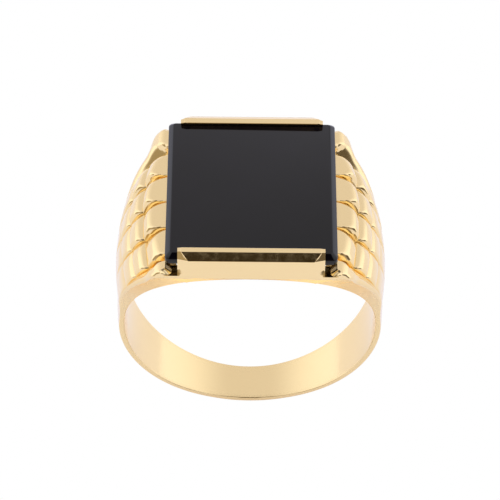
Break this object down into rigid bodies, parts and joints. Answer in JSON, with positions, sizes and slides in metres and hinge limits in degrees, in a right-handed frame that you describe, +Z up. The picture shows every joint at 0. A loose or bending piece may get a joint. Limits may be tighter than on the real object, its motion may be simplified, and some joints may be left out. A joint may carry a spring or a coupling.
{
  "type": "signet ring",
  "caption": "Gold signet ring with a flat bevelled black stone held by two folded bezel bars, beaded shoulders and a tapering band.",
  "frame": {"origin": "middle of the finger hole", "axes": "+Y along the finger, +Z up to the stone, +X to the right-hand shoulder seen from the front"},
  "size_m": [0.0194, 0.0148, 0.0212],
  "materials": {
    "polished_gold": "polished",
    "black_onyx": "polished"
  },
  "bodies": {
    "root": {"shank_band": "polished_gold", "left_scale_panel": "polished_gold", "right_scale_panel": "polished_gold", "front_left_cheek": "polished_gold", "front_right_cheek": "polished_gold", "rear_left_cheek": "polished_gold", "rear_right_cheek": "polished_gold", "front_bezel_bar": "polished_gold", "rear_bezel_bar": "polished_gold", "stone_tablet": "black_onyx"}
  },
  "joints": []
}
